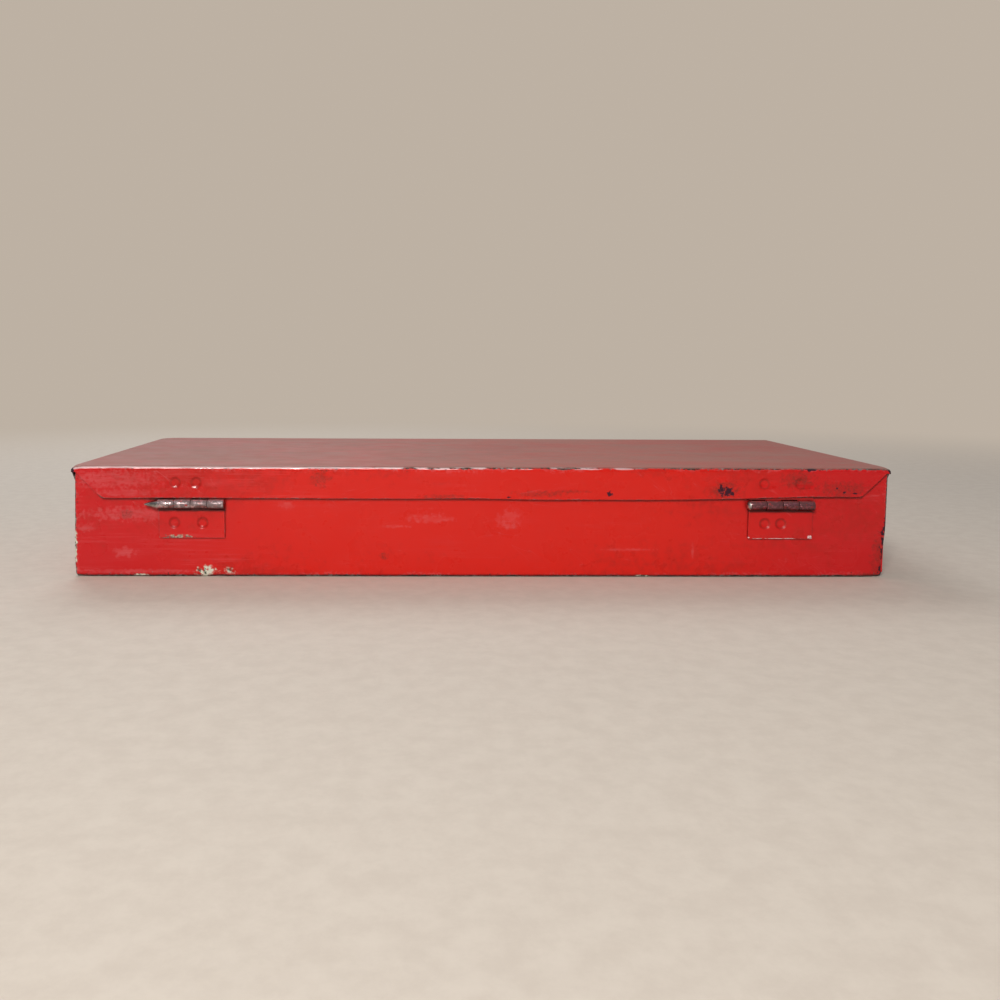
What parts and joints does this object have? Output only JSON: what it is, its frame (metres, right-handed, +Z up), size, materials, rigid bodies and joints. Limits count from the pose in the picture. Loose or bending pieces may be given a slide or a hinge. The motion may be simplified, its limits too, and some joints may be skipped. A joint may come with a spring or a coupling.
{
  "type": "metal tool case",
  "caption": "Slim rectangular sheet steel tool case with a hinged lift-up lid, butt hinges at the back, draw latches and a bail handle at the front.",
  "frame": {"origin": "middle of the case's underside, the face that it rests on", "axes": "+X along the width, to the user's right as they face the latches; +Y from the latch and handle side to the hinge side; +Z up through the lid"},
  "size_m": [0.482, 0.226, 0.0655],
  "materials": {
    "case_paint": "worn gloss red enamel with chips, scuffs and dust",
    "hinge_paint": "gloss red enamel over the welded hinge leaves, worn at the edges",
    "pin_steel": "bare steel, darkened with handling",
    "plated_steel": "dull zinc plate with light scratches",
    "rivet_steel": "plated tubular rivets, dull"
  },
  "bodies": {
    "base": {"base_pan": "case_paint", "right_hinge_lower_leaf": "hinge_paint", "left_hinge_lower_leaf": "hinge_paint", "right_hinge_pin": "pin_steel", "left_hinge_pin": "pin_steel", "right_latch_plate": "plated_steel", "left_latch_plate": "plated_steel", "right_latch_pin": "plated_steel", "left_latch_pin": "plated_steel", "latch_plate_rivets": "rivet_steel", "right_handle_saddle": "plated_steel", "left_handle_saddle": "plated_steel", "handle_rivets": "rivet_steel"},
    "lid": {"lid_pan": "case_paint", "right_hinge_upper_leaf": "hinge_paint", "left_hinge_upper_leaf": "hinge_paint", "right_latch_keeper": "plated_steel", "left_latch_keeper": "plated_steel", "right_keeper_rivets": "rivet_steel", "left_keeper_rivets": "rivet_steel"},
    "right_lever": {"right_latch_lever": "plated_steel"},
    "left_lever": {"left_latch_lever": "plated_steel"},
    "right_loop": {"right_latch_loop": "plated_steel"},
    "left_loop": {"left_latch_loop": "plated_steel"},
    "handle": {"handle_bail": "plated_steel"}
  },
  "joints": [
    {"name": "lid_hinge", "type": "hinge", "parent": "base", "child": "lid", "pos_m": [0, 0.1076, 0.0433], "axis": [-1, 0, 0], "range_deg": [0, 180]},
    {"name": "right_lever_pivot", "type": "hinge", "parent": "base", "child": "right_lever", "pos_m": [0.15, -0.1095, 0.037], "axis": [-1, 0, 0], "range_deg": [0, 140]},
    {"name": "right_loop_pivot", "type": "hinge", "parent": "right_lever", "child": "right_loop", "pos_m": [0.15, -0.1087, 0.031], "axis": [1, 0, 0], "range_deg": [-178.6, 0]},
    {"name": "left_lever_pivot", "type": "hinge", "parent": "base", "child": "left_lever", "pos_m": [-0.15, -0.1095, 0.037], "axis": [-1, 0, 0], "range_deg": [0, 140]},
    {"name": "left_loop_pivot", "type": "hinge", "parent": "left_lever", "child": "left_loop", "pos_m": [-0.15, -0.1087, 0.031], "axis": [1, 0, 0], "range_deg": [-178.6, 0]},
    {"name": "handle_pivot", "type": "hinge", "parent": "base", "child": "handle", "pos_m": [0, -0.10685, 0.037], "axis": [-1, 0, 0], "range_deg": [0, 160]}
  ]
}
